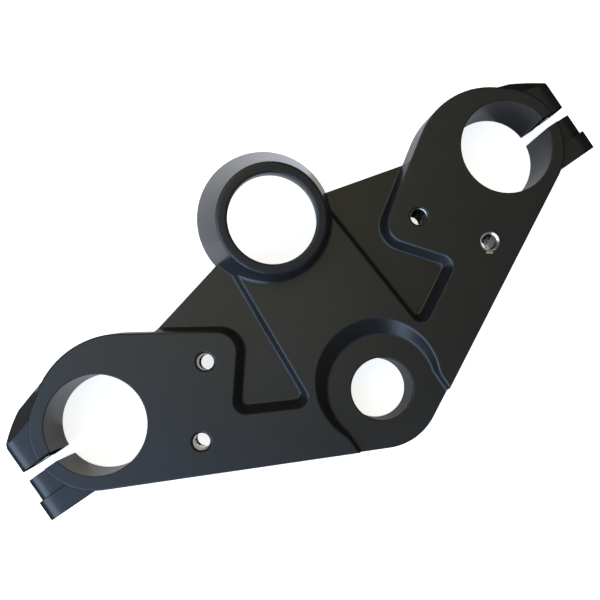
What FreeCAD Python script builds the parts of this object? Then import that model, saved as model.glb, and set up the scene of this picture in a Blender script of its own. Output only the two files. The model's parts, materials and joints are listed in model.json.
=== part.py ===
"""Upper triple clamp of a motorcycle: one aluminium casting, machined and coated.

Two split clamps hold the fork tubes, the hole in the rear corner takes the steering stem, and a
ring that leans back towards the rider holds the ignition switch. Millimetres, +Z up, +Y forward,
origin on the stem axis in the underside plane. The casting is mirror-symmetric about x = 0.
"""
import FreeCAD, Part
import math
import os

from FreeCAD import Vector

# Layout of the three axes
FORK_SPACING = 210.0        # between the two fork bores
FORK_AHEAD = 55.7           # fork line ahead of the stem axis
FORK_BORE = 41.0
STEM_BORE = 26.8

# Heights, measured down from the top face
CLAMP_DEPTH = 25.0          # fork clamps and stem boss, top face to underside
WEB_DEPTH = 17.5            # arms and plate between them
DRAFT = 4.5                 # the outer walls lean out towards the underside, degrees
BOSS_DRAFT = 2.0            # the clamps and boss below the web lean back in, degrees

# Plan outline
LOBE_WALL = 5.9             # round each fork bore
STEM_BOSS = 50.0            # diameter of the rear corner, concentric with the stem
NOSE_RADIUS = 34.5          # front curve of each fork lobe
LOBE_END = 59.2             # where it leaves the round lobe, degrees about the fork bore
NOSE_START = 48.6           # and the same place about the curve's own centre
ARM_ANGLE = 33.3            # front edge of each arm, degrees from the fork line
FRONT_ANGLE = 13.7          # front edge of the plate, degrees from the fork line
FRONT_APEX = 34.2           # where those edges would meet, ahead of the fork line
INNER_CORNER = 2.5          # radius between arm and plate edge

# Pockets in the top face, one on each side of the middle
POCKET_DEPTH = 5.0
ARM_RUN = 2.1               # plan widths of its sloped walls
DIAGONAL_RUN = 2.8
REAR_RUN = 3.3
SPINE_RUN = 1.6
REAR_BAND = 21.4            # width of the high band along each rear edge
ELBOW_X = 36.2              # corner of the arm, before rounding
DIAGONAL_ANGLE = 51.8       # edge from that corner back to the rear band, degrees
SPINE_HALF = 25.15          # half width of the middle at the fork line
SPINE_FLARE = 4.1           # its edges open towards the rear, degrees
ELBOW_RADIUS = 8.5
HEEL_RADIUS = 5.0
TOE_RADIUS = 4.2

# Recess round the stem hole
RECESS_DEPTH = 5.5
RECESS_FLOOR = 47.6         # diameter of the floor
RECESS_RIM = 52.6           # diameter of the upper edge
RECESS_SHIFT = 4.0          # upper edge ahead of the stem axis
RECESS_MOUTH = 46.0         # width of the way out at the rear, on the floor
RECESS_MOUTH_RUN = 0.5      # how much wider on each side at the top
RECESS_BLEND = 7.0          # radius between the round part and the way out

# Pinch clamps
SLIT_WIDTH = 4.4
SLIT_BACK = 0.9             # middle of the slit behind the fork line
PINCH_OUT = 29.0            # pinch bolt axis, outward from the fork bore
PINCH_DEPTH = 12.5          # the same below the top face
EAR_HEIGHT = 17.0
FLANGE_HEIGHT = 20.0        # thicker end that the bolt head bears on
EAR_ROOT = 14.0             # its inner side, outward from the fork bore's axis
EAR_SIDE = 13.0             # its straight outer side ends here, ahead of the fork line
EAR_TURN = 30.0             # there its outline turns in by so much, degrees
EAR_TAIL = 22.0             # and the curved front ends at this angle to the fork line
EAR_BOW = 32.0              # radius of that curve
EAR_NOSE = 24.1             # front of the outline on the bolt axis, before it is curved
EAR_DRAFT = 12.0            # slope of its front, degrees
SLANT_START = 14.9          # upper edge of its slanted end, on the bolt axis
SLANT_ANGLE = 18.0          # that edge, degrees from the fork line
SLANT_SLOPE = 60.0          # steepness of the slanted end, degrees
FLANGE_START = 12.9         # behind the fork line
FLANGE_END = 21.8
NOTCH_START = 17.7
NOTCH_IN = 2.6              # edge of the tool notch, inward from the bolt axis
PINCH_HOLE = 8.6            # clearance for an M8 bolt
PINCH_TAP = 6.8             # tapping size for M8
PINCH_TAP_END = 15.0        # bottom of the tapped hole, ahead of the fork line
SEAT_DIAMETER = 14.5        # spot face under the bolt head
SEAT_DEPTH = 0.8

# Hollows in the underside
SHELL_WALL = 6.0            # outer walls round them
SHELL_DRAFT = 3.0           # their walls open towards the underside, degrees
WEB_ROOF = 6.0              # metal above them, under the pocket floors
ARM_ROOF = 7.0              # and above the outer one, under the top face
HOLLOW_CORNER = 3.0         # radius of their corners
SHARP_TURN = 75.0           # walls that meet at a smaller turn have no such radius, degrees
TAP_BOSS = 16.0             # diameter of the metal round each tapped hole
NECK_STEP = 0.5             # the outer boss's way into the rear wall lies this far inside it
LOBE_NECK = 26.0            # where each fork clamp runs into the front wall
NECK_ANGLE = 120.0          # direction of that place from the fork bore, degrees
RIB_WIDTH = 5.0             # ribs from boss to boss, at their lower edge
SPINE_RIB = 7.0             # middle rib between stem boss and ring

# Ignition switch ring
RING_LEAN = 12.0            # degrees, top towards the rider
RING_AHEAD = 27.1           # middle of the rim, ahead of the fork line
RING_RISE = 16.8            # middle of the rim above the top face
RING_LENGTH = 26.0
RING_RIM = 44.1             # outer diameter at the rim
RING_FLARE = 15.4           # slope of the outer wall, degrees
RING_MOUTH = 35.7           # opening at the rim
RING_COLLAR = 4.0           # its length before it widens
OPENING_LEAN = 6.3          # the opening leans less than the ring, degrees
OPENING_DEPTH = 13.1        # along its own axis, down to the hollow
OPENING_FOOT = 38.2         # diameter there
RING_WALL = 4.2             # round the hollow

# Tapped holes in the arms, for M8
TAP_DIAMETER = 7.0
TAP_CHAMFER = 0.8
TAP_PLACES = ((54.7, -3.7), (74.3, -29.9))

# Edges
TOP_EDGE = 0.6              # bevel round the top face, pockets and recess
FLOOR_EDGE = 1.1
RIM_EDGE = 1.1              # outer edge of the ring's rim
MOUTH_EDGE = 0.5            # bevel of its inner edge
FOOT_EDGE = 1.0             # slope where the ring stands on the top face
BORE_CHAMFER = 0.4

SLOT_REACH = 60.0           # tools run this far past the metal
SKIN = 1.0
TOUCH = 0.01                # what lies this close to a plane is on it

TOP = CLAMP_DEPTH
FORK_X = FORK_SPACING / 2
FORK_R = FORK_BORE / 2
LOBE_R = FORK_R + LOBE_WALL
STEM_R = STEM_BOSS / 2
PINCH_X = FORK_X + PINCH_OUT
PINCH_Z = TOP - PINCH_DEPTH


def block(low, high):
    """Box between two heights, wider than the casting, on its right side."""
    width = 4 * SLOT_REACH
    return Part.makeBox(width, 2 * width, high - low, Vector(0, -width, low))


def fork_line(y):
    """Turn a distance ahead of the fork line into this frame's y."""
    return FORK_AHEAD + y


def direction(degrees):
    return Vector(math.cos(math.radians(degrees)), math.sin(math.radians(degrees)), 0)


def meet(p, u, q, v):
    """Point where the line through p along u meets the line through q along v."""
    cross = u.x * v.y - u.y * v.x
    t = ((q.x - p.x) * v.y - (q.y - p.y) * v.x) / cross
    return p + u * t


def at_height(point, z):
    return Vector(point.x, point.y, z)


def arc(centre, radius, start, end, z):
    """Counter-clockwise arc between two directions, in degrees."""
    middle = (start + end) / 2
    points = [at_height(centre + direction(a) * radius, z) for a in (start, middle, end)]
    return Part.Arc(*points).toShape()


def segment(p, q, z):
    return Part.LineSegment(at_height(p, z), at_height(q, z)).toShape()


def rounded_polygon(corners, z):
    """Closed wire through (point, radius) corners, each rounded by a tangent arc."""
    joints = []
    count = len(corners)
    for i, (point, radius) in enumerate(corners):
        back = (corners[i - 1][0] - point).normalize()
        ahead = (corners[(i + 1) % count][0] - point).normalize()
        half = back.getAngle(ahead) / 2
        reach = radius / math.tan(half)
        bisector = (back + ahead).normalize()
        nearest = point + bisector * (radius / math.sin(half) - radius)
        joints.append((point + back * reach, nearest, point + ahead * reach))
    edges = []
    for i, (enter, nearest, leave) in enumerate(joints):
        points = [at_height(p, z) for p in (enter, nearest, leave)]
        edges.append(Part.Arc(*points).toShape())
        edges.append(segment(leave, joints[(i + 1) % count][0], z))
    return Part.Wire(edges)


def loft(*wires):
    """Solid with straight walls from each wire to the next one up."""
    return Part.makeLoft(list(wires), True, True)


def both_sides(shape):
    """The shape and its mirror image across x = 0."""
    return [shape, shape.mirror(Vector(0, 0, 0), Vector(1, 0, 0))]


def nose_centre():
    """Centre of the front curve of the right lobe, which starts on the lobe itself."""
    start = Vector(FORK_X, FORK_AHEAD, 0) + direction(LOBE_END) * LOBE_R
    return start - direction(NOSE_START) * NOSE_RADIUS


def arm_edge(grow):
    """Front edge of the right arm as a point and a direction, moved outward by grow."""
    along = direction(ARM_ANGLE)
    outward = direction(ARM_ANGLE + 90)
    return nose_centre() + outward * (NOSE_RADIUS + grow), along


def front_edge(grow):
    """Front edge of the plate on the right side, moved outward by grow."""
    along = direction(-FRONT_ANGLE)
    outward = direction(90 - FRONT_ANGLE)
    return Vector(0, fork_line(FRONT_APEX), 0) + outward * grow, along


def rear_normal():
    """Direction from the fork bore to the rear edge that touches lobe and stem boss."""
    reach = math.hypot(FORK_X, FORK_AHEAD)
    slope = math.degrees(math.atan2(FORK_AHEAD, FORK_X))
    return slope - math.degrees(math.acos((LOBE_R - STEM_R) / reach))


def rear_edge():
    """Rear edge on the right side as a point and a direction, pointing outward along x."""
    normal = direction(rear_normal())
    return Vector(0, 0, 0) + normal * STEM_R, direction(rear_normal() + 90)


def mirrored(point):
    return Vector(-point.x, point.y, point.z)


def outline(grow, z):
    """Plan outline of the casting, every wall moved outward by grow."""
    fork = Vector(FORK_X, FORK_AHEAD, 0)
    nose = nose_centre()
    lobe = LOBE_R + grow
    curve = NOSE_RADIUS + grow
    gap = (nose - fork).Length
    back_angle = math.degrees(math.atan2(nose.y - fork.y, nose.x - fork.x)) + 360
    turn = math.degrees(math.acos((lobe**2 + gap**2 - curve**2) / (2 * lobe * gap)))
    lobe_end = back_angle - turn
    kink = fork + direction(lobe_end) * lobe
    nose_start = math.degrees(math.atan2(kink.y - nose.y, kink.x - nose.x))
    arm_point, arm_along = arm_edge(grow)
    front_point, front_along = front_edge(grow)
    corner = meet(arm_point, arm_along, front_point, front_along)
    half = math.radians(180 - ARM_ANGLE - FRONT_ANGLE) / 2
    radius = INNER_CORNER - grow
    reach = radius / math.tan(half)
    on_arm = corner + arm_along * reach
    on_front = corner - front_along * reach
    between = corner + (arm_along - front_along).normalize() * (radius / math.sin(half) - radius)
    stem_angle = rear_normal()
    stem_tangent = direction(stem_angle) * (STEM_R + grow)
    lobe_tangent = fork + direction(stem_angle) * lobe
    apex = front_point - front_along * (front_point.x / front_along.x)
    right = [
        segment(stem_tangent, lobe_tangent, z),
        arc(fork, lobe, stem_angle, lobe_end, z),
        arc(nose, curve, nose_start, ARM_ANGLE + 90, z),
        segment(arm_point, on_arm, z),
        Part.Arc(*[at_height(p, z) for p in (on_arm, between, on_front)]).toShape(),
        segment(on_front, apex, z),
    ]
    left = [edge.mirror(Vector(0, 0, 0), Vector(1, 0, 0)) for edge in right]
    rear = arc(Vector(0, 0, 0), STEM_R + grow, -180 - stem_angle, stem_angle, z)
    return Part.Wire(Part.__sortEdges__([rear] + right + left))


def lean(height, degrees):
    """How far a wall of this height moves sideways over its slope."""
    return height * math.tan(math.radians(degrees))


def boss(radius, x, y, height):
    """Round boss that stands out below the web, a little narrower at the underside."""
    at_web = radius + lean(WEB_DEPTH, DRAFT)
    foot = at_web - lean(TOP - WEB_DEPTH, BOSS_DRAFT)
    return Part.makeCone(foot, foot + lean(height, BOSS_DRAFT), height, Vector(x, y, 0))


def big_bosses(height):
    """The bosses of the stem and of both fork clamps."""
    return both_sides(boss(LOBE_R, FORK_X, FORK_AHEAD, height)) + [boss(STEM_R, 0, 0, height)]


def casting_blank():
    """Arms and plate with their sloped outer walls, and the three bosses below them."""
    foot = outline(lean(WEB_DEPTH - TOP_EDGE, DRAFT), TOP - WEB_DEPTH)
    web = loft(foot, outline(0, TOP - TOP_EDGE), outline(-TOP_EDGE, TOP))
    return web.fuse(big_bosses(TOP - WEB_DEPTH)).removeSplitter()


def pocket(share, grow, z):
    """Wire of the right pocket: share 0 at the bevel, 1 on the floor, and moved out by grow."""
    arm_point, arm_along = arm_edge(ARM_RUN * share - grow)
    top_point, top_along = arm_edge(0)
    elbow = meet(top_point, top_along, Vector(ELBOW_X, 0, 0), Vector(0, 1, 0))
    diagonal_along = direction(-DIAGONAL_ANGLE)
    diagonal = elbow + direction(-DIAGONAL_ANGLE - 90) * (DIAGONAL_RUN * share - grow)
    rear_point, rear_along = rear_edge()
    band = rear_point - direction(rear_normal()) * (REAR_BAND + REAR_RUN * share - grow)
    spine_along = direction(90 + SPINE_FLARE)
    spine = Vector(SPINE_HALF, FORK_AHEAD, 0) + direction(SPINE_FLARE) * (SPINE_RUN * share - grow)
    elbow_radius = ELBOW_RADIUS + ARM_RUN * share - grow
    heel_radius = HEEL_RADIUS - DIAGONAL_RUN * share + grow
    toe_radius = TOE_RADIUS - SPINE_RUN * share + grow
    ahead = Vector(0, fork_line(FRONT_APEX + FRONT_APEX), 0)
    across = Vector(1, 0, 0)
    return rounded_polygon([
        (meet(arm_point, arm_along, diagonal, diagonal_along), elbow_radius),
        (meet(diagonal, diagonal_along, band, rear_along), heel_radius),
        (meet(band, rear_along, spine, spine_along), toe_radius),
        (meet(spine, spine_along, ahead, across), toe_radius),
        (meet(arm_point, arm_along, ahead, across), toe_radius),
    ], z)


def floor_rounded(tool):
    """A tool whose lower edges are rounded, so that they leave a fillet round the floor."""
    low = tool.BoundBox.ZMin
    edges = [e for e in tool.Edges if e.BoundBox.ZMax < low + TOUCH]
    return tool.makeFillet(FLOOR_EDGE, edges)


def pocket_tool():
    """Pocket and the bevel round its upper edge, as one tool that reaches above the metal."""
    floor = pocket(1, 0, TOP - POCKET_DEPTH)
    bevel = pocket(0, 0, TOP - TOP_EDGE)
    over = pocket(0, TOP_EDGE + SKIN, TOP + SKIN)
    return floor_rounded(loft(floor, bevel, over))


def recess(share, grow, z):
    """Wire of the stem recess: share 0 on its floor, 1 at the bevel, and moved out by grow."""
    centre = Vector(0, RECESS_SHIFT * share, 0)
    radius = RECESS_FLOOR / 2 + (RECESS_RIM - RECESS_FLOOR) / 2 * share + grow
    mouth = RECESS_MOUTH / 2 + RECESS_MOUTH_RUN * share + grow
    blend_radius = RECESS_BLEND - grow
    blend_x = mouth + blend_radius
    blend_y = centre.y - math.sqrt((radius + blend_radius)**2 - blend_x**2)
    blend = Vector(blend_x, blend_y, 0)
    toward = math.degrees(math.atan2(centre.y - blend_y, -blend_x))
    exit_start = Vector(mouth, blend_y, 0)
    exit_end = Vector(mouth, -SLOT_REACH, 0)
    points = [blend + direction(a) * blend_radius for a in (toward, (toward + 180) / 2, 180)]
    side = [
        Part.Arc(*[at_height(p, z) for p in points]).toShape(),
        segment(exit_start, exit_end, z),
    ]
    other = [edge.mirror(Vector(0, 0, 0), Vector(1, 0, 0)) for edge in side]
    around = arc(centre, radius, toward - 180, 360 - toward, z)
    close = segment(exit_end, mirrored(exit_end), z)
    return Part.Wire(Part.__sortEdges__([around] + side + [close] + other))


def recess_tool():
    floor = recess(0, 0, TOP - RECESS_DEPTH)
    bevel = recess(1, 0, TOP - TOP_EDGE)
    over = recess(1, TOP_EDGE + SKIN, TOP + SKIN)
    return floor_rounded(loft(floor, bevel, over))


def rib(start, end, width):
    """Rib between two points in plan, thinner towards the underside."""
    along = (end - start).normalize()
    side = Vector(-along.y, along.x, 0)
    wires = []
    for z in (0, TOP):
        half = width / 2 + lean(z - (TOP - WEB_DEPTH), SHELL_DRAFT)
        corners = [start - side * half, end - side * half, end + side * half, start + side * half]
        wires.append(Part.makePolygon([at_height(p, z) for p in corners + corners[:1]]))
    return loft(*wires)


def hollow_cores():
    """Bosses, ribs and ring wall on the right side, which the hollows leave standing."""
    places = [Vector(x, fork_line(y), 0) for x, y in TAP_PLACES]
    foot = TAP_BOSS / 2 - lean(TOP - WEB_DEPTH, SHELL_DRAFT)
    cores = [Part.makeCone(foot, foot + lean(TOP, SHELL_DRAFT), TOP, place) for place in places]
    inner, outer = places
    stem = Vector(0, 0, 0)
    arm_point, arm_along = arm_edge(0)
    front_point, front_along = front_edge(0)
    corner = meet(arm_point, arm_along, front_point, front_along)
    rear = outer + direction(rear_normal()) * REAR_BAND
    for start, end in ((outer, inner), (stem, inner), (inner, corner)):
        cores.append(rib(start, end, RIB_WIDTH))
    cores.append(rib(rear, outer, TAP_BOSS - 2 * NECK_STEP))
    fork = Vector(FORK_X, FORK_AHEAD, 0)
    cores.append(rib(fork, fork + direction(NECK_ANGLE) * FORK_BORE, LOBE_NECK))
    cores.append(rib(stem, Vector(0, fork_line(RING_AHEAD), 0), SPINE_RIB))
    cores.append(ring_cone(RING_LENGTH + CLAMP_DEPTH))
    return cores + big_bosses(TOP)


def turn_at(tool, edge):
    """Angle in degrees by which a tool's surface turns at one of its edges."""
    middle = edge.valueAt((edge.FirstParameter + edge.LastParameter) / 2)
    faces = tool.ancestorsOfType(edge, Part.Face)
    normals = [face.normalAt(*face.Surface.parameter(middle)) for face in faces]
    return math.degrees(normals[0].getAngle(normals[1]))


def round_corners(tool):
    """Fillet the upright corners of a hollow."""
    upright = [e for e in tool.Edges if abs(e.Vertexes[0].Z - e.Vertexes[-1].Z) > SKIN]
    return tool.makeFillet(HOLLOW_CORNER, [e for e in upright if turn_at(tool, e) > SHARP_TURN])


def hollow_tools():
    """The hollows on the right side, with rounded corners; the outer one is the deepest."""
    web = TOP - WEB_DEPTH
    inside = lean(WEB_DEPTH, DRAFT) - SHELL_WALL
    heights = (web - SKIN, TOP - ARM_ROOF)
    space = loft(*[outline(inside - lean(z - web, SHELL_DRAFT), z) for z in heights])
    pieces = [piece for piece in space.cut(hollow_cores()).Solids if piece.CenterOfMass.x > 0]
    outermost = max(pieces, key=lambda piece: piece.CenterOfMass.x)
    low = block(0, TOP - POCKET_DEPTH - WEB_ROOF)
    tools = [piece if piece is outermost else piece.common(low).Solids[0] for piece in pieces]
    return [round_corners(tool) for tool in tools]


def slab(height, y_start, y_end):
    """Ear section with a round outer edge about the pinch axis, run along y."""
    radius = height / 2
    inner = Vector(FORK_X + EAR_ROOT, y_start, PINCH_Z)
    outer = Vector(PINCH_X, y_start, PINCH_Z)
    up = Vector(0, 0, radius)
    edges = [
        Part.LineSegment(inner - up, outer - up).toShape(),
        Part.Arc(outer - up, outer + Vector(radius, 0, 0), outer + up).toShape(),
        Part.LineSegment(outer + up, inner + up).toShape(),
        Part.LineSegment(inner + up, inner - up).toShape(),
    ]
    return Part.Face(Part.Wire(edges)).extrude(Vector(0, y_end - y_start, 0))


def ear_outline(z):
    """Ear's plan outline at one height: straight side, turn, and a curve back to the lobe."""
    grow = lean(PINCH_Z - z, EAR_DRAFT)
    inner = Vector(FORK_X, 0, 0)
    back = Vector(FORK_X, fork_line(-FLANGE_END), 0)
    across = Vector(1, 0, 0)
    ahead = Vector(0, 1, 0)
    outside = Vector(PINCH_X + EAR_HEIGHT / 2, fork_line(EAR_SIDE), 0)
    clear = outside + across * SKIN
    side = outside + direction(EAR_TURN) * grow
    side_along = direction(90 + EAR_TURN)
    tail = Vector(PINCH_X, fork_line(EAR_NOSE), 0) + direction(90 - EAR_TAIL) * grow
    tail_along = direction(180 - EAR_TAIL)
    return rounded_polygon([
        (back, SKIN),
        (meet(back, across, clear, ahead), SKIN),
        (meet(side, side_along, clear, ahead), SKIN / 2),
        (meet(side, side_along, tail, tail_along), EAR_BOW + grow),
        (meet(tail, tail_along, inner, ahead), SKIN),
    ], z)


def ear():
    """Right pinch ear, front and rear halves in one, before the slit is cut."""
    bar = slab(EAR_HEIGHT, fork_line(-FLANGE_END), fork_line(EAR_NOSE + EAR_HEIGHT))
    bar = bar.common(loft(ear_outline(0), ear_outline(TOP)))
    crest = Vector(PINCH_X, fork_line(SLANT_START), PINCH_Z + EAR_HEIGHT / 2)
    along = direction(180 - SLANT_ANGLE)
    down = direction(90 - SLANT_ANGLE) - Vector(0, 0, math.tan(math.radians(SLANT_SLOPE)))
    bar = bar.cut(above_plane([crest, crest + along, crest + down]))
    flange = slab(FLANGE_HEIGHT, fork_line(-FLANGE_END), fork_line(-FLANGE_START))
    notch = [
        Vector(0, fork_line(-NOTCH_START), PINCH_Z + FLANGE_HEIGHT / 2),
        Vector(1, fork_line(-NOTCH_START), PINCH_Z + FLANGE_HEIGHT / 2),
        Vector(0, fork_line(-FLANGE_END), PINCH_Z - SKIN),
    ]
    keep = block(0, TOP)
    keep.translate(Vector(PINCH_X - NOTCH_IN, 0, 0))
    return bar.fuse(flange).cut(above_plane(notch).cut(keep))


def above_plane(points):
    """Large block on the upper side of the plane through three points."""
    a, b, c = points
    normal = (b - a).cross(c - a).normalize()
    if normal.z < 0:
        normal = normal * -1
    size = 4 * SLOT_REACH
    block = Part.makeBox(size, size, size, Vector(-size / 2, -size / 2, 0))
    block.Placement = FreeCAD.Placement(a, FreeCAD.Rotation(Vector(0, 0, 1), normal))
    return block


def rim_centre():
    return Vector(0, fork_line(RING_AHEAD), TOP + RING_RISE)


def leaning(shape, degrees):
    """Carry a shape built about the ring's rim centre to its place, leaning back."""
    moved = shape.copy()
    moved.Placement = FreeCAD.Placement(rim_centre(), FreeCAD.Rotation(Vector(1, 0, 0), degrees))
    return moved


def ring_cone(length):
    """Flared outer form of the switch ring, down from its rim."""
    rim = RING_RIM / 2
    cone = Part.makeCone(rim + lean(length, RING_FLARE), rim, length, Vector(0, 0, -length))
    return leaning(cone, RING_LEAN)


def ring_body():
    """The ring as cast, with its rim rounded."""
    cone = ring_cone(RING_LENGTH)
    top = max(cone.Edges, key=lambda e: e.BoundBox.Center.z if e.Closed else 0)
    return cone.makeFillet(RIM_EDGE, [top])


def turned(corners):
    """Solid of revolution about z from (radius, height) corners."""
    outline_wire = Part.makePolygon([Vector(r, 0, z) for r, z in corners + corners[:1]])
    return Part.Face(outline_wire).revolve(Vector(0, 0, 0), Vector(0, 0, 1), 360)


def ring_opening():
    """Way through for the switch: a short round collar, then a gentle taper."""
    mouth = RING_MOUTH / 2
    foot = OPENING_FOOT / 2
    start = lean(mouth, RING_LEAN - OPENING_LEAN) + SKIN
    corners = [(0, start), (mouth, start), (mouth, -RING_COLLAR), (foot, -OPENING_DEPTH),
               (foot, -RING_LENGTH), (0, -RING_LENGTH)]
    return leaning(turned(corners), OPENING_LEAN)


def ring_hollow():
    """Hollow under the opening, a constant wall inside the flared outer form."""
    start = RING_RIM / 2 + lean(OPENING_DEPTH, RING_FLARE) - RING_WALL
    end = RING_RIM / 2 + lean(RING_LENGTH, RING_FLARE) - RING_WALL
    below = RING_LENGTH + CLAMP_DEPTH
    corners = [(0, -OPENING_DEPTH), (start, -OPENING_DEPTH), (end, -RING_LENGTH), (end, -below),
               (0, -below)]
    return leaning(turned(corners), RING_LEAN)


def is_ring_wall(face):
    """Whether a face is the ring's flared outer wall."""
    if not isinstance(face.Surface, Part.Cone):
        return False
    return abs(math.degrees(abs(face.Surface.SemiAngle)) - RING_FLARE) < TOUCH


def fill_foot(body):
    """Chamfer the inner corner where the ring stands on the top face."""
    edges = []
    for edge in body.Edges:
        level = all(abs(p.z - TOP) < TOUCH for p in edge.discretize(4))
        if level and any(is_ring_wall(face) for face in body.ancestorsOfType(edge, Part.Face)):
            edges.append(edge)
    return body.makeChamfer(FOOT_EDGE, edges)


def break_mouth(body):
    """Chamfer the inner edge of the rim."""
    rise = direction(90 - RING_LEAN)
    normal = Vector(0, -rise.x, rise.y)
    edges = []
    for edge in body.Edges:
        offsets = [p - rim_centre() for p in edge.discretize(8)]
        if all(abs(o.dot(normal)) < TOUCH and o.Length < RING_MOUTH / 2 + SKIN for o in offsets):
            edges.append(edge)
    return body.makeChamfer(MOUTH_EDGE, edges)


def drill(diameter, x, y, z_from, z_to):
    return Part.makeCylinder(diameter / 2, z_to - z_from, Vector(x, y, z_from))


def countersink(diameter, chamfer, x, y, z):
    """Cone that breaks the upper edge of a hole at height z."""
    small = diameter / 2
    return Part.makeCone(small, small + chamfer + SKIN, chamfer + SKIN, Vector(x, y, z - chamfer))


def machining():
    """Every bore, tapped hole and slit, as tools to cut away."""
    tools = [drill(STEM_BORE, 0, 0, -SKIN, TOP + SKIN)]
    tools.append(countersink(STEM_BORE, BORE_CHAMFER, 0, 0, TOP - RECESS_DEPTH))
    for side in (-1, 1):
        x = side * FORK_X
        tools.append(drill(FORK_BORE, x, FORK_AHEAD, -SKIN, TOP + SKIN))
        for tap_x, tap_y in TAP_PLACES:
            place = (side * tap_x, fork_line(tap_y))
            tools.append(drill(TAP_DIAMETER, *place, -SKIN, TOP + SKIN))
            tools.append(countersink(TAP_DIAMETER, TAP_CHAMFER, *place, TOP))
    along = Vector(0, 1, 0)
    rear = fork_line(-FLANGE_END)
    start = Vector(PINCH_X, rear - SKIN, PINCH_Z)
    middle = Vector(PINCH_X, FORK_AHEAD, PINCH_Z)
    clearance = Part.makeCylinder(PINCH_HOLE / 2, FLANGE_END + SKIN, start, along)
    tapped = Part.makeCylinder(PINCH_TAP / 2, PINCH_TAP_END, middle, along)
    seat = Part.makeCylinder(SEAT_DIAMETER / 2, SEAT_DEPTH + SKIN, start, along)
    slit_y = fork_line(-SLIT_BACK - SLIT_WIDTH / 2)
    slit = Part.makeBox(SLOT_REACH, SLIT_WIDTH, TOP + 2 * SKIN, Vector(FORK_X, slit_y, -SKIN))
    for tool in (clearance, tapped, seat, slit):
        tools += both_sides(tool)
    return tools


def build():
    body = casting_blank()
    body = body.cut([recess_tool()] + both_sides(pocket_tool()))
    hollows = [tool for right in hollow_tools() for tool in both_sides(right)]
    body = body.cut(hollows).fuse(both_sides(ear()) + [ring_body()])
    body = body.cut(machining() + [ring_opening(), ring_hollow()])
    return break_mouth(fill_foot(body.removeSplitter()))


os.makedirs("parts", exist_ok=True)
clamp = build()
solid = clamp.Solids[0] if len(clamp.Solids) == 1 else clamp
print("solids", len(clamp.Solids), "valid", clamp.isValid(), "volume", round(clamp.Volume))
print("box", clamp.optimalBoundingBox())
solid.exportStep("parts/upper_triple_clamp.step")
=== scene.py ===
"""Studio scene of a motorcycle's upper triple clamp: satin black enamel on a blasted casting.

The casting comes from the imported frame. This file gives it its finish, cuts the fine threads into
its tapped holes, and sets up the floor, the lights and the camera.
"""
import json
import math

import bpy
import numpy as np
from bpy.props import FloatProperty, FloatVectorProperty, PointerProperty
from mathutils import Matrix, Vector


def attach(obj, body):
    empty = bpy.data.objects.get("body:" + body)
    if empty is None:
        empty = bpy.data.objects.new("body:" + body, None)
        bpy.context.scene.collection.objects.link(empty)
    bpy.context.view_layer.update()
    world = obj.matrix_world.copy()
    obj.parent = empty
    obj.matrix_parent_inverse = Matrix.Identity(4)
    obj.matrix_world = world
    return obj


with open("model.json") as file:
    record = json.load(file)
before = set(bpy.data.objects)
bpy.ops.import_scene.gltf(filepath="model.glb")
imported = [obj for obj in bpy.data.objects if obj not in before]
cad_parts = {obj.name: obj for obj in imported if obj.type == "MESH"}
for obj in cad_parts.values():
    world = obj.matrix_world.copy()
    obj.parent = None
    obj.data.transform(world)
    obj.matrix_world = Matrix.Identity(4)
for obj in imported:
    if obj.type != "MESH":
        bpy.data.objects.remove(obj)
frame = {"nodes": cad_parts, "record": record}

bl_info = {
    "name": "Upper Triple Clamp",
    "version": (1, 0, 0),
    "blender": (4, 5, 0),
    "location": "View3D > Sidebar > Clamp",
    "description": "Finish, threads and studio of an upper triple clamp",
    "category": "Object",
}

MM = 0.001
CASTING = "upper_triple_clamp"
BODY = "root"

# Colour sockets of a Mix node, whose names its other sockets share.
MIX_FIRST, MIX_SECOND, MIX_RESULT = 6, 7, 2

MOUNTS = {mount["name"]: mount for mount in frame["record"]["mounts"]}
BRACKET_THREADS = ("left_inner_thread", "left_outer_thread",
                   "right_inner_thread", "right_outer_thread")
PINCH_THREADS = ("left_pinch_thread", "right_pinch_thread")
TOP_FACE = 25 * MM
OVERSPRAY_AND_SHADE = "overspray_and_painted_shade"

# Black sprayed film in each bracket hole, partly a real film and partly painted shade: it gains
# towards one side and down the hole, where the hole's shade falls. As thread_points takes it: the
# bearing of that darker side, in degrees, how much it gains towards that side and down the hole,
# and its middle level.
THREAD_FILMS_AND_SHADE = {
    "left_inner_thread": (150, 0.5, 1.2, -0.2),
    "left_outer_thread": (150, 0.8, 0.8, -0.7),
    "right_inner_thread": (100, 0.7, 0.3, 0.45),
    "right_outer_thread": (100, 0.5, 0.2, 0.15),
}
PLAIN_FILM = (0, 0, 0, -1)

# How far bare cut metal reaches past the wall of each bracket hole.
BARE_RIMS = {
    "left_inner_thread": 0.02 * MM,
    "left_outer_thread": 0.02 * MM,
    "right_inner_thread": 0.15 * MM,
    "right_outer_thread": 0.75 * MM,
}

# The enamel's rounding changes between these heights, from the casting's edges to the ring's rim.
RIM_HEIGHTS = (TOP_FACE + 2 * MM, TOP_FACE + 4 * MM)
BEVEL_SAMPLES = 8

# How strongly the droplets break the edge of the black film with its painted shade, and the
# levels between which it covers the metal.
DROPLET_GAIN = 1.8
COVERING_LEVELS = (0.85, 1.05)

# Form of a thread's wave before it is cut off at 0 and 1, and the grid of its surface.
FLANK_GAIN = 1.4
ROOT_CUT = 0.15
TURN_COLUMNS = 72
ROWS_A_PITCH = 12

# The ceiling light along a bearing in plan: bearings in degrees, and distances from the origin
# in metres between which the light changes.
FALL_BEARING = -52
BRIGHT_TO_MIDDLE = (-0.55, -0.1)
MIDDLE_TO_DIM = (-0.1, 0.32)
WINDOW_BEARING = -150
WINDOW_GAIN = 0.9
WINDOW_GAIN_RUN = (0.02, 0.5)
WARM_TO_COOL = (-0.12, 0.45)
SPOT_PLACE = (0.03, 0.1)
SPOT_REACH = 0.28

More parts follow.
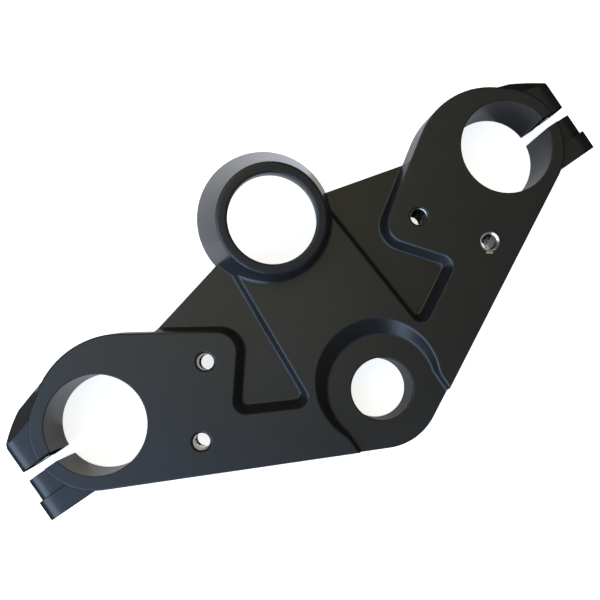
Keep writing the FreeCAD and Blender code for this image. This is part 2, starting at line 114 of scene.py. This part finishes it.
# Upright panels round the part: their radius, and the bearings and elevations that each spans.
PANEL_RADIUS = 1.5
PANEL_COLUMNS = 25
FLAG_SPAN = (-129, 140)
FLAG_RISE = (0, 45)
WINDOW_SPAN = (150, 230)
WINDOW_RISE = (0, 36)

# The floor lies just under the part, and the flags and cards on it lie between the two.
FLOOR_WIDTH = 8.0
FLOOR_HEIGHT = -0.02 * MM
SHEET_HEIGHT = -0.01 * MM

# Dark flags on the floor: two corners in plan, in metres.
FLOOR_FLAGS = {
    "left_floor_flag": ((-0.6, -0.5), (-0.126, 0.08)),
    "right_floor_flag": ((0.126, -0.8), (1.5, 1.5)),
}

# Cards on the floor that show in walls and holes: two corners in plan, in metres, and the level
# of their white at the left and at the right of CARD_RUN.
FLOOR_CARDS = {
    "card_before_the_ring": ((-0.09, 0.1), (0.122, 0.5), 0.65, 1.5),
    "card_under_the_left_holes": ((-0.09, 0.01), (-0.04, 0.07), 1.3, 1.3),
    "card_under_the_right_hole": ((0.06, 0.0), (0.09, 0.044), 0.85, 0.85),
    "card_under_the_stem": ((-0.014, -0.014), (0.014, 0.014), 0.28, 0.28),
    "card_under_the_right_bore": ((0.1145, 0.0565), (0.126, 0.07), 0.16, 0.16),
    "card_under_the_left_bore": ((-0.126, 0.0655), (-0.098, 0.08), 0.6, 0.6),
    "card_behind_the_left_bore": ((-0.126, 0.03), (-0.098, 0.046), 0.6, 0.6),
    "card_before_the_left_ear": ((-0.6, 0.08), (-0.126, 0.6), 0.12, 0.12),
}
CARD_RUN = (-0.06, 0.03)


def linear(hex_colour):
    """Linear RGBA of an sRGB hex colour."""
    parts = [int(hex_colour[i:i + 2], 16) / 255 for i in (1, 3, 5)]
    return [c / 12.92 if c <= 0.04045 else ((c + 0.055) / 1.055)**2.4 for c in parts] + [1.0]


def heading(bearing):
    """Unit vector in plan at a bearing, in degrees from the x axis."""
    return math.cos(math.radians(bearing)), math.sin(math.radians(bearing)), 0


class ClampFinish(bpy.types.PropertyGroup):
    """Colours and grain of the casting's enamel and of its cut metal."""

    enamel: FloatVectorProperty(
        name="Enamel", description="Colour of the black enamel", subtype="COLOR", size=4,
        min=0, max=1, default=linear("#151515"))
    enamel_dusty: FloatVectorProperty(
        name="Dusty Enamel", description="Colour of the enamel where fine dust dulls it",
        subtype="COLOR", size=4, min=0, max=1, default=linear("#1d1e1f"))
    patch: FloatProperty(
        name="Patch Width", description="Width of the dusty patches", unit="LENGTH", min=0.001,
        max=0.1, default=18 * MM)
    enamel_roughness: FloatProperty(
        name="Enamel Roughness", description="Roughness of the satin enamel",
        subtype="FACTOR", min=0, max=1, default=0.3)
    enamel_ior: FloatProperty(
        name="Enamel IOR", description="Refractive index of the enamel", min=1, max=2,
        default=1.46)
    edge_radius: FloatProperty(
        name="Edge Radius", description="Rounding that the enamel gives to every sharp edge",
        unit="LENGTH", min=0, max=0.005, default=0.8 * MM)
    rim_radius: FloatProperty(
        name="Rim Radius", description="Rounding of the edges of the ring's rim",
        unit="LENGTH", min=0, max=0.005, default=1.4 * MM)
    grain: FloatProperty(
        name="Grain", description="Width of the grain that blasting leaves under the enamel",
        unit="LENGTH", min=0.0001, max=0.01, default=0.7 * MM)
    grain_depth: FloatProperty(
        name="Grain Depth", description="Height of that grain", unit="LENGTH", min=0,
        max=0.001, default=0.03 * MM)
    nick_place: FloatVectorProperty(
        name="Nick", description="Middle of the nick in the enamel", subtype="TRANSLATION",
        unit="LENGTH", size=2, default=(71.4 * MM, 22.0 * MM))
    nick_size: FloatVectorProperty(
        name="Nick Size", description="Length and width of the nick", unit="LENGTH", size=2,
        default=(3.0 * MM, 0.8 * MM))
    nick_bearing: FloatProperty(
        name="Nick Bearing", description="Direction of the nick in plan, in degrees",
        default=-34.5)
    cut_metal: FloatVectorProperty(
        name="Cut Metal", description="Colour of the machined aluminium in the tapped holes",
        subtype="COLOR", size=4, min=0, max=1, default=linear("#ddd8cd"))
    cut_roughness: FloatProperty(
        name="Cut Roughness", description="Roughness of the machined aluminium",
        subtype="FACTOR", min=0, max=1, default=0.32)
    tool_line: FloatProperty(
        name="Tool Lines", description="Width of the tool marks on the cut metal",
        unit="LENGTH", min=0.0001, max=0.01, default=0.4 * MM)
    droplet: FloatProperty(
        name="Droplets", description="Width of the droplets at the edge of the overspray",
        unit="LENGTH", min=0.0001, max=0.01, default=0.7 * MM)


class ClampThreads(bpy.types.PropertyGroup):
    """Form of the threads in the tapped holes."""

    pitch: FloatProperty(
        name="Pitch", description="Rise of the thread in one turn", unit="LENGTH",
        min=0.0005, max=0.003, default=1.25 * MM)
    height: FloatProperty(
        name="Crest Height", description="How far the crests stand in from the hole's wall",
        unit="LENGTH", min=0, max=0.001, default=0.16 * MM)
    skirt: FloatProperty(
        name="Skirt", description="How far the thread's outer side lies inside the metal",
        unit="LENGTH", min=0, max=0.001, default=0.08 * MM)


class ClampStudio(bpy.types.PropertyGroup):
    """Place of the camera, and the levels and colours of the lights, the floor and the cards."""

    camera_place: FloatVectorProperty(
        name="Camera", description="Place of the camera", subtype="TRANSLATION", unit="LENGTH",
        default=(-31.74 * MM, 36.05 * MM, 301.38 * MM))
    camera_aim: FloatVectorProperty(
        name="Aim", description="Point that the lens axis meets", subtype="TRANSLATION",
        unit="LENGTH", default=(-2.83 * MM, 33.32 * MM, TOP_FACE))
    camera_roll: FloatProperty(
        name="Roll", description="Turn of the camera about its axis", subtype="ANGLE",
        default=math.radians(34.532))
    camera_lens: FloatProperty(
        name="Lens", description="Focal length on a 36 mm sensor, in millimetres", min=10,
        max=200, default=39.665)
    camera_shift: FloatVectorProperty(
        name="Shift", description="Shift of the lens, as a share of the frame", size=2,
        default=(-0.0567, 0.0467))
    room_level: FloatProperty(
        name="Room Level", description="Strength of the room's light on matt surfaces", min=0,
        max=2, default=0.8)
    floor_glow: FloatProperty(
        name="Floor Glow", description="How much white the camera adds to the paper floor",
        subtype="FACTOR", min=0, max=1, default=0.78)
    floor_mirror: FloatProperty(
        name="Floor Mirror", description="How much white reflections add to the paper floor",
        subtype="FACTOR", min=0, max=1, default=0.2)
    ceiling_height: FloatProperty(
        name="Ceiling Height", description="Height of the soft ceiling light", unit="LENGTH",
        min=0.5, max=3, default=1.2)
    ceiling_width: FloatProperty(
        name="Ceiling Width", description="Width of the soft ceiling light", unit="LENGTH",
        min=0.5, max=6, default=2.4)
    ceiling_cool: FloatVectorProperty(
        name="Cool Side", description="Colour of the ceiling light towards the window",
        subtype="COLOR", size=4, min=0, max=1, default=linear("#add0ff"))
    ceiling_warm: FloatVectorProperty(
        name="Warm Side", description="Colour of the ceiling light away from the window",
        subtype="COLOR", size=4, min=0, max=1, default=linear("#fff4ca"))
    ceiling_levels: FloatVectorProperty(
        name="Ceiling Levels", description="Strength of the ceiling light at its bright end, "
        "over the middle and at its dim end", size=3, min=0, max=3, default=(1.7, 0.72, 0.3))
    ceiling_spot: FloatProperty(
        name="Ceiling Spot", description="Strength that the bright spot adds to the ceiling",
        min=0, max=3, default=0.6)
    window_level: FloatProperty(
        name="Window Level", description="Strength of the low window on the left", min=0,
        max=10, default=4.5)
    window: FloatVectorProperty(
        name="Window", description="Colour of the window's daylight", subtype="COLOR", size=4,
        min=0, max=1, default=linear("#c4ddff"))
    paper: FloatVectorProperty(
        name="Paper", description="Colour of the paper floor", subtype="COLOR", size=4, min=0,
        max=1, default=linear("#ececec"))
    cloth: FloatVectorProperty(
        name="Flag Cloth", description="Colour of the dark flags", subtype="COLOR", size=4,
        min=0, max=1, default=linear("#23221f"))
    card: FloatVectorProperty(
        name="Cards", description="Colour of the white cards", subtype="COLOR", size=4, min=0,
        max=1, default=linear("#f3f7ff"))


def add_node(tree, kind, links=None, inputs=None, **settings):
    """Add a node, set its properties and sockets, and link its inputs from other sockets."""
    made = tree.nodes.new(kind)
    for name, value in settings.items():
        setattr(made, name, value)
    for socket, value in (inputs or {}).items():
        made.inputs[socket].default_value = value
    for socket, source in (links or {}).items():
        tree.links.new(source, made.inputs[socket])
    return made


def new_material(name):
    """Empty node material and its tree."""
    material = bpy.data.materials.new(name)
    material.use_nodes = True
    material.node_tree.nodes.clear()
    return material, material.node_tree


def finish_material(tree, shader):
    """Link a shader to the material's output."""
    add_node(tree, "ShaderNodeOutputMaterial", links={"Surface": shader})


def hole_mask(tree, place, centre, reach):
    """1 inside a round column of radius reach about a vertical hole axis."""
    offset = add_node(tree, "ShaderNodeVectorMath", operation="SUBTRACT",
                      links={0: place}, inputs={1: (centre[0], centre[1], 0)})
    flat = add_node(tree, "ShaderNodeVectorMath", operation="MULTIPLY",
                    links={0: offset.outputs["Vector"]}, inputs={1: (1, 1, 0)})
    distance = add_node(tree, "ShaderNodeVectorMath", operation="LENGTH",
                        links={0: flat.outputs["Vector"]})
    inside = add_node(tree, "ShaderNodeMath", operation="LESS_THAN",
                      links={0: distance.outputs["Value"]}, inputs={1: reach})
    return inside.outputs["Value"]


def strip_mask(tree, place, centre, bearing, length, width):
    """1 inside an upright strip about a centre in plan, its length along a bearing in degrees."""
    offset = add_node(tree, "ShaderNodeVectorMath", operation="SUBTRACT",
                      links={0: place}, inputs={1: (centre[0], centre[1], 0)})
    inside = None
    for turn, size in ((bearing, length), (bearing + 90, width)):
        along = add_node(tree, "ShaderNodeVectorMath", operation="DOT_PRODUCT",
                         links={0: offset.outputs["Vector"]}, inputs={1: heading(turn)})
        near = add_node(tree, "ShaderNodeMath", operation="COMPARE",
                        links={0: along.outputs["Value"]}, inputs={1: 0.0, 2: size / 2})
        if inside is None:
            inside = near
        else:
            inside = add_node(tree, "ShaderNodeMath", operation="MULTIPLY",
                              links={0: inside.outputs["Value"], 1: near.outputs["Value"]})
    return inside.outputs["Value"]


def enamelled_casting(finish):
    """Satin black stoving enamel on blasted cast aluminium, with cut metal bare in some places.

    The enamel is a dielectric film: nearly black in itself, it shows the room as a soft, slightly
    blurred reflection that brightens on steep walls. The blasted skin under it gives it a fine
    uneven grain. Round the mouths of the tapped holes, and in the nick, the bright metal shows.
    """
    material, tree = new_material("satin_black_enamel_on_blasted_aluminium")
    place = add_node(tree, "ShaderNodeTexCoord").outputs["Object"]
    cloud = add_node(tree, "ShaderNodeTexNoise", links={"Vector": place},
                     inputs={"Scale": 1 / finish.patch, "Detail": 4.0, "Roughness": 0.6})
    colour = add_node(tree, "ShaderNodeMix", data_type="RGBA",
                      links={0: cloud.outputs["Fac"]},
                      inputs={MIX_FIRST: finish.enamel, MIX_SECOND: finish.enamel_dusty})
    grain = add_node(tree, "ShaderNodeTexNoise", links={"Vector": place},
                     inputs={"Scale": 1 / finish.grain, "Detail": 3.0, "Roughness": 0.65})
    height = add_node(tree, "ShaderNodeSeparateXYZ", links={"Vector": place}).outputs["Z"]
    radius = add_node(tree, "ShaderNodeMapRange", links={"Value": height},
                      inputs={"From Min": RIM_HEIGHTS[0], "From Max": RIM_HEIGHTS[1],
                              "To Min": finish.edge_radius, "To Max": finish.rim_radius})
    rounded = add_node(tree, "ShaderNodeBevel", links={"Radius": radius.outputs["Result"]},
                       samples=BEVEL_SAMPLES)
    bump = add_node(tree, "ShaderNodeBump",
                    links={"Height": grain.outputs["Fac"], "Normal": rounded.outputs["Normal"]},
                    inputs={"Strength": 1.0, "Distance": finish.grain_depth})
    enamel = add_node(tree, "ShaderNodeBsdfPrincipled",
                      links={"Base Color": colour.outputs[MIX_RESULT],
                             "Normal": bump.outputs["Normal"]},
                      inputs={"Roughness": finish.enamel_roughness, "IOR": finish.enamel_ior})
    metal = add_node(tree, "ShaderNodeBsdfPrincipled",
                     inputs={"Base Color": finish.cut_metal, "Metallic": 1.0,
                             "Roughness": finish.cut_roughness})
    bare = strip_mask(tree, place, finish.nick_place, finish.nick_bearing, *finish.nick_size)
    for name, rim in BARE_RIMS.items():
        mount = MOUNTS[name]
        mask = hole_mask(tree, place, mount["pos_m"], mount["dims"]["r_mm"] * MM + rim)
        bare = add_node(tree, "ShaderNodeMath", operation="MAXIMUM",
                        links={0: bare, 1: mask}).outputs["Value"]
    mixed = add_node(tree, "ShaderNodeMixShader",
                     links={0: bare, 1: enamel.outputs["BSDF"], 2: metal.outputs["BSDF"]})
    finish_material(tree, mixed.outputs["Shader"])
    return material


def cut_aluminium(finish):
    """Cut aluminium of the threads: bright tool lines, with a dry black sprayed film in places,
    which also paints shade into the holes.

    The film is matt, and lies where the piece's own attribute of film and painted shade is above
    about 0; that attribute is darker down each hole and towards one side, as painted shade. Noise
    of the size of droplets breaks its edge. The tool lines and the droplets are drawn coarser than
    real ones, which would be too fine to show.
    """
    material, tree = new_material("tapped_aluminium_and_painted_shade")
    place = add_node(tree, "ShaderNodeTexCoord").outputs["Object"]
    lines = add_node(tree, "ShaderNodeTexNoise", links={"Vector": place},
                     inputs={"Scale": 1 / finish.tool_line, "Detail": 2.0})
    roughness = add_node(tree, "ShaderNodeMapRange", links={"Value": lines.outputs["Fac"]},
                         inputs={"To Min": 0.2, "To Max": 0.45})
    # Level of black film on the piece, which also paints shade down each hole and on one side.
    spray_and_shade = add_node(tree, "ShaderNodeAttribute", attribute_name=OVERSPRAY_AND_SHADE)
    drops = add_node(tree, "ShaderNodeTexNoise", links={"Vector": place},
                     inputs={"Scale": 1 / finish.droplet, "Detail": 3.0})
    ragged = add_node(tree, "ShaderNodeMath", operation="MULTIPLY_ADD",
                      links={0: drops.outputs["Fac"], 2: spray_and_shade.outputs["Fac"]},
                      inputs={1: DROPLET_GAIN})
    film = add_node(tree, "ShaderNodeMapRange", links={"Value": ragged.outputs["Value"]},
                    inputs={"From Min": COVERING_LEVELS[0], "From Max": COVERING_LEVELS[1]})
    metal = add_node(tree, "ShaderNodeBsdfPrincipled",
                     links={"Roughness": roughness.outputs["Result"]},
                     inputs={"Base Color": finish.cut_metal, "Metallic": 1.0})
    black = add_node(tree, "ShaderNodeBsdfDiffuse", inputs={"Color": finish.enamel})
    mixed = add_node(tree, "ShaderNodeMixShader",
                     links={0: film.outputs["Result"], 1: metal.outputs["BSDF"],
                            2: black.outputs["BSDF"]})
    finish_material(tree, mixed.outputs["Shader"])
    return material


def surface_piece(name, points, closed_u, closed_v):
    """Mesh of a grid of points of shape (u, v, 3), with its open or closed directions."""
    rows, columns = points.shape[:2]
    u = np.arange(rows if closed_u else rows - 1)
    v = np.arange(columns if closed_v else columns - 1)
    a, b = np.meshgrid(u, v, indexing="ij")
    c, d = (a + 1) % rows, (b + 1) % columns
    quads = np.stack([a * columns + b, c * columns + b, c * columns + d, a * columns + d], -1)
    mesh = bpy.data.meshes.new(name)
    mesh.from_pydata(points.reshape(-1, 3), [], quads.reshape(-1, 4))
    mesh.update()
    piece = bpy.data.objects.new(name, mesh)
    bpy.context.scene.collection.objects.link(piece)
    return piece


def axes_about(axis):
    """Two unit vectors square to an axis and to each other, in right-handed order with it."""
    axis = np.array(axis, float)
    helper = np.eye(3)[np.abs(axis).argmin()]
    first = np.cross(helper, axis)
    first /= np.linalg.norm(first)
    return first, np.cross(axis, first)


def thread_points(mount, pitch, height, skirt, film):
    """Closed thread wall: a section carried once round the hole's axis.

    For the turn angle a and the height z, the inner radius is the wall's radius less the crest
    height times a wave of z / pitch - a / 2 pi. The wave is a triangle, FLANK_GAIN high, that is
    lowered by ROOT_CUT and cut off at 0 and 1, which flattens root and crest, and it fades out
    over the first and last turn. The section runs down the wall, so that its faces look towards
    the axis, and closes over a plain skirt inside the metal.
    Beside the points comes each one's level of sprayed film and painted shade, which rises
    towards one side and down the hole to paint the hole's shade. From film = (bearing, across,
    down, base):
        film and shade = base + across * (outward direction . bearing) - down * h / half the length
    """
    radius = mount["dims"]["r_mm"] * MM
    length = mount["dims"]["length_mm"] * MM
    rows = int(round(length / pitch * ROWS_A_PITCH))
    z = np.linspace(length / 2, -length / 2, rows)
    angle = np.linspace(0, 2 * np.pi, TURN_COLUMNS, endpoint=False)[:, None]
    phase = (z[None, :] / pitch - angle / (2 * np.pi)) % 1
    wave = np.clip(FLANK_GAIN * (1 - np.abs(2 * phase - 1)) - ROOT_CUT, 0, 1)
    fade = np.clip((length / 2 - np.abs(z)) / pitch, 0, 1)
    inner = radius - height * wave * fade[None, :]
    outer = np.full_like(inner[:, :1], radius + skirt)
    r = np.concatenate([inner, outer, outer], axis=1)
    h = np.concatenate([z, z[-1:], z[:1]])[None, :] * np.ones_like(angle)
    first, second = axes_about(mount["axis"])
    turn = np.cos(angle)[..., None] * first + np.sin(angle)[..., None] * second
    centre = np.array(mount["pos_m"], float)
    points = centre + turn * r[..., None] + h[..., None] * np.array(mount["axis"], float)
    bearing, across, down, base = film
    # Film level with painted shade: higher towards the bearing's side and further down the hole.
    return points, base + across * (turn @ np.array(heading(bearing))) - down * h / (length / 2)


class OBJECT_OT_clamp_finish(bpy.types.Operator):
    """Give the casting its enamel and the cut metal of its tapped holes"""

    bl_idname = "object.clamp_finish"
    bl_label = "Enamel the Casting"

    def execute(self, context):
        casting = frame["nodes"].get(CASTING)
        if casting is None:
            raise RuntimeError("the frame has no casting")
        material = enamelled_casting(context.scene.clamp_finish)
        casting.data.materials.clear()
        casting.data.materials.append(material)
        return {"FINISHED"}


class OBJECT_OT_clamp_threads(bpy.types.Operator):
    """Cut the threads of the bracket screws and pinch bolts"""

    bl_idname = "object.clamp_threads"
    bl_label = "Cut the Threads"

    def execute(self, context):
        form = context.scene.clamp_threads
        material = cut_aluminium(context.scene.clamp_finish)
        for name in BRACKET_THREADS + PINCH_THREADS:
            if name not in MOUNTS:
                raise RuntimeError(f"the record has no mount {name}")
            points, spray_and_shade = thread_points(MOUNTS[name], form.pitch, form.height, form.skirt,
                                          THREAD_FILMS_AND_SHADE.get(name, PLAIN_FILM))
            piece = surface_piece(name, points, True, True)
            # Stores the black film level, with its painted shade down the hole and on one side.
            layer = piece.data.attributes.new(OVERSPRAY_AND_SHADE, "FLOAT", "POINT")
            layer.data.foreach_set("value", spray_and_shade.ravel())
            piece.data.materials.append(material)
            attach(piece, BODY)
        return {"FINISHED"}


def white_floor(studio):
    """Pale paper floor: white to the camera and in reflections, with the part's soft shadow.

    The paper is nearly white by its own colour. To the camera it glows as well, which makes it
    plain white and keeps the shadow faint. In reflections, and through anything clear, it glows
    just enough to be white where it lies open.
    """
    material, tree = new_material("white_paper")
    rays = add_node(tree, "ShaderNodeLightPath")
    bounced = add_node(tree, "ShaderNodeMath", operation="MAXIMUM",
                       links={0: rays.outputs["Is Glossy Ray"],
                              1: rays.outputs["Is Transmission Ray"]})
    mirror = add_node(tree, "ShaderNodeMath", operation="MULTIPLY",
                      links={0: bounced.outputs["Value"]}, inputs={1: studio.floor_mirror})
    share = add_node(tree, "ShaderNodeMath", operation="MULTIPLY_ADD",
                     links={0: rays.outputs["Is Camera Ray"], 2: mirror.outputs["Value"]},
                     inputs={1: studio.floor_glow})
    paper = add_node(tree, "ShaderNodeBsdfDiffuse", inputs={"Color": studio.paper})
    glow = add_node(tree, "ShaderNodeEmission", inputs={"Color": (1, 1, 1, 1)},
                    links={"Strength": share.outputs["Value"]})
    both = add_node(tree, "ShaderNodeAddShader",
                    links={0: paper.outputs["BSDF"], 1: glow.outputs["Emission"]})
    finish_material(tree, both.outputs["Shader"])
    return material


def change_along(tree, bearing, run, first, last):
    """Straight change from first to last over a run of distances from the origin at a bearing."""
    place = add_node(tree, "ShaderNodeTexCoord").outputs["Object"]
    along = add_node(tree, "ShaderNodeVectorMath", operation="DOT_PRODUCT",
                     links={0: place}, inputs={1: heading(bearing)})
    return add_node(tree, "ShaderNodeMapRange", links={"Value": along.outputs["Value"]},
                    inputs={"From Min": run[0], "From Max": run[1], "To Min": first,
                            "To Max": last}).outputs["Result"]


def ceiling_glow(studio):
    """Soft ceiling light, brightest at the front left and dim at the rear right.

    Its level falls along one direction in plan, in two straight stretches, with a soft brighter
    spot over the middle. Towards the window it gains again, and turns from warm to cool.
    """
    material, tree = new_material("graded_softbox")
    bright, middle, dim = studio.ceiling_levels
    place = add_node(tree, "ShaderNodeTexCoord").outputs["Object"]
    distance = add_node(tree, "ShaderNodeVectorMath", operation="DISTANCE", links={0: place},
                        inputs={1: (*SPOT_PLACE, studio.ceiling_height)})
    spot = add_node(tree, "ShaderNodeMapRange", interpolation_type="SMOOTHSTEP",
                    links={"Value": distance.outputs["Value"]},
                    inputs={"From Max": SPOT_REACH, "To Min": studio.ceiling_spot, "To Max": 0})
    level = change_along(tree, FALL_BEARING, BRIGHT_TO_MIDDLE, bright - middle, 0)
    for more in (change_along(tree, FALL_BEARING, MIDDLE_TO_DIM, middle, dim),
                 spot.outputs["Result"],
                 change_along(tree, WINDOW_BEARING, WINDOW_GAIN_RUN, 0, WINDOW_GAIN)):
        level = add_node(tree, "ShaderNodeMath", operation="ADD",
                         links={0: level, 1: more}).outputs["Value"]
    colour = add_node(tree, "ShaderNodeMix", data_type="RGBA",
                      links={0: change_along(tree, WINDOW_BEARING, WARM_TO_COOL, 0, 1)},
                      inputs={MIX_FIRST: studio.ceiling_warm, MIX_SECOND: studio.ceiling_cool})
    glow = add_node(tree, "ShaderNodeEmission",
                    links={"Color": colour.outputs[MIX_RESULT], "Strength": level})
    finish_material(tree, glow.outputs["Emission"])
    return material


def dark_cloth(studio):
    """Black cloth of the flags that keep the far side of the room dark in reflections."""
    material, tree = new_material("black_flag_cloth")
    cloth = add_node(tree, "ShaderNodeBsdfDiffuse", inputs={"Color": studio.cloth})
    finish_material(tree, cloth.outputs["BSDF"])
    return material


def window_glow(studio):
    """Cool daylight of a window."""
    material, tree = new_material("daylight_window")
    glow = add_node(tree, "ShaderNodeEmission",
                    inputs={"Color": studio.window, "Strength": studio.window_level})
    finish_material(tree, glow.outputs["Emission"])
    return material


def card_glow(studio, left, right):
    """White bounce card, whose level changes from left to right over CARD_RUN."""
    material, tree = new_material("white_bounce_card")
    level = change_along(tree, 0, CARD_RUN, left, right)
    glow = add_node(tree, "ShaderNodeEmission", inputs={"Color": studio.card},
                    links={"Strength": level})
    finish_material(tree, glow.outputs["Emission"])
    return material


def round_panel(name, span, rise, material):
    """Upright panel curved about the z axis, over a span of bearings and a rise of elevations.

    The point at bearing b and elevation e lies at PANEL_RADIUS * (cos b, sin b, tan e).
    """
    b, e = np.meshgrid(np.radians(np.linspace(*span, PANEL_COLUMNS)), np.radians(rise),
                       indexing="ij")
    points = PANEL_RADIUS * np.stack([np.cos(b), np.sin(b), np.tan(e)], -1)
    panel = surface_piece(name, points, False, False)
    panel.data.materials.append(material)
    panel.visible_camera = False
    panel.visible_shadow = False
    return panel


def floor_sheet(name, low, high, material):
    """Flat sheet on the floor between two corners in plan, which shows in reflections only."""
    x, y = np.meshgrid([low[0], high[0]], [low[1], high[1]], indexing="ij")
    sheet = surface_piece(name, np.stack([x, y, np.full_like(x, SHEET_HEIGHT)], -1), False, False)
    sheet.data.materials.append(material)
    sheet.visible_camera = False
    sheet.visible_diffuse = False
    sheet.visible_shadow = False


def flat_square(name, width, height, material, facing_up):
    """Square plane centred on the stem axis at a height, which faces up or down."""
    half = width / 2
    side = np.array([-half, half])
    x, y = np.meshgrid(side, side if facing_up else -side, indexing="ij")
    points = np.stack([x, y, np.full_like(x, height)], -1)
    plane = surface_piece(name, points, False, False)
    plane.data.materials.append(material)
    return plane


def light_room(scene, level):
    """World that is white to the camera, in gloss and through glass, and plain for matt light."""
    world = bpy.data.worlds.new("white_room")
    world.use_nodes = True
    tree = world.node_tree
    tree.nodes.clear()
    rays = add_node(tree, "ShaderNodeLightPath")
    seen = add_node(tree, "ShaderNodeMath", operation="MAXIMUM",
                    links={0: rays.outputs["Is Camera Ray"], 1: rays.outputs["Is Glossy Ray"]})
    seen = add_node(tree, "ShaderNodeMath", operation="MAXIMUM",
                    links={0: seen.outputs["Value"], 1: rays.outputs["Is Transmission Ray"]})
    plain = add_node(tree, "ShaderNodeBackground",
                     inputs={"Color": (1, 1, 1, 1), "Strength": level})
    white = add_node(tree, "ShaderNodeBackground", inputs={"Color": (1, 1, 1, 1)})
    mixed = add_node(tree, "ShaderNodeMixShader",
                     links={0: seen.outputs["Value"], 1: plain.outputs["Background"],
                            2: white.outputs["Background"]})
    add_node(tree, "ShaderNodeOutputWorld", links={"Surface": mixed.outputs["Shader"]})
    scene.world = world


def place_camera(scene, studio):
    """Camera at the photograph's viewpoint, turned about its axis by the roll."""
    data = bpy.data.cameras.new("camera")
    data.sensor_width = 36
    data.lens = studio.camera_lens
    data.shift_x, data.shift_y = studio.camera_shift
    data.clip_start = 0.01
    data.clip_end = 20
    camera = bpy.data.objects.new("camera", data)
    place = Vector(studio.camera_place)
    look = (Vector(studio.camera_aim) - place).normalized()
    side = look.cross(Vector((0, 1, 0))).normalized()
    ahead = side.cross(look)
    up = ahead * math.cos(studio.camera_roll) + side * math.sin(studio.camera_roll)
    right = look.cross(up)
    camera.matrix_world = matrix_of(right, up, -look, place)
    scene.collection.objects.link(camera)
    scene.camera = camera


def matrix_of(x, y, z, place):
    """Placement whose axes are the given unit vectors."""
    return Matrix((
        (x.x, y.x, z.x, place.x),
        (x.y, y.y, z.y, place.y),
        (x.z, y.z, z.z, place.z),
        (0, 0, 0, 1),
    ))


class SCENE_OT_clamp_stage(bpy.types.Operator):
    """Set up the floor, the lights and the camera"""

    bl_idname = "scene.clamp_stage"
    bl_label = "Set Up the Studio"

    def execute(self, context):
        scene = context.scene
        studio = scene.clamp_studio
        flat_square("floor", FLOOR_WIDTH, FLOOR_HEIGHT, white_floor(studio), True)
        ceiling = flat_square("softbox", studio.ceiling_width, studio.ceiling_height,
                              ceiling_glow(studio), False)
        ceiling.visible_camera = False
        cloth = dark_cloth(studio)
        round_panel("flag", FLAG_SPAN, FLAG_RISE, cloth).visible_diffuse = False
        for name, (low, high) in FLOOR_FLAGS.items():
            floor_sheet(name, low, high, cloth)
        for name, (low, high, left, right) in FLOOR_CARDS.items():
            floor_sheet(name, low, high, card_glow(studio, left, right))
        round_panel("window", WINDOW_SPAN, WINDOW_RISE, window_glow(studio))
        light_room(scene, studio.room_level)
        place_camera(scene, studio)
        scene.view_settings.view_transform = "Standard"
        return {"FINISHED"}


class VIEW3D_PT_clamp(bpy.types.Panel):
    """Sizes, colours and steps of the clamp scene"""

    bl_idname = "VIEW3D_PT_clamp"
    bl_label = "Upper Triple Clamp"
    bl_space_type = "VIEW_3D"
    bl_region_type = "UI"
    bl_category = "Clamp"

    def draw(self, context):
        layout = self.layout
        for group in (context.scene.clamp_finish, context.scene.clamp_threads,
                      context.scene.clamp_studio):
            for name in group.bl_rna.properties.keys():
                if name not in ("rna_type", "name"):
                    layout.prop(group, name)
        for step in STEPS:
            layout.operator(step.bl_idname)


STEPS = (OBJECT_OT_clamp_finish, OBJECT_OT_clamp_threads, SCENE_OT_clamp_stage)
GROUPS = {"clamp_finish": ClampFinish, "clamp_threads": ClampThreads,
          "clamp_studio": ClampStudio}


def register():
    """Add the settings, the steps and the panel."""
    for group in GROUPS.values():
        bpy.utils.register_class(group)
    for step in STEPS + (VIEW3D_PT_clamp,):
        bpy.utils.register_class(step)
    for name, group in GROUPS.items():
        setattr(bpy.types.Scene, name, PointerProperty(type=group))


def unregister():
    """Take them away again."""
    for name in GROUPS:
        delattr(bpy.types.Scene, name)
    for step in STEPS + (VIEW3D_PT_clamp,):
        bpy.utils.unregister_class(step)
    for group in GROUPS.values():
        bpy.utils.unregister_class(group)


def main():
    """Run every step in order."""
    register()
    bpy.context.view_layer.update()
    bpy.ops.object.clamp_finish()
    bpy.ops.object.clamp_threads()
    bpy.ops.scene.clamp_stage()


if __name__ == "__main__":
    main()
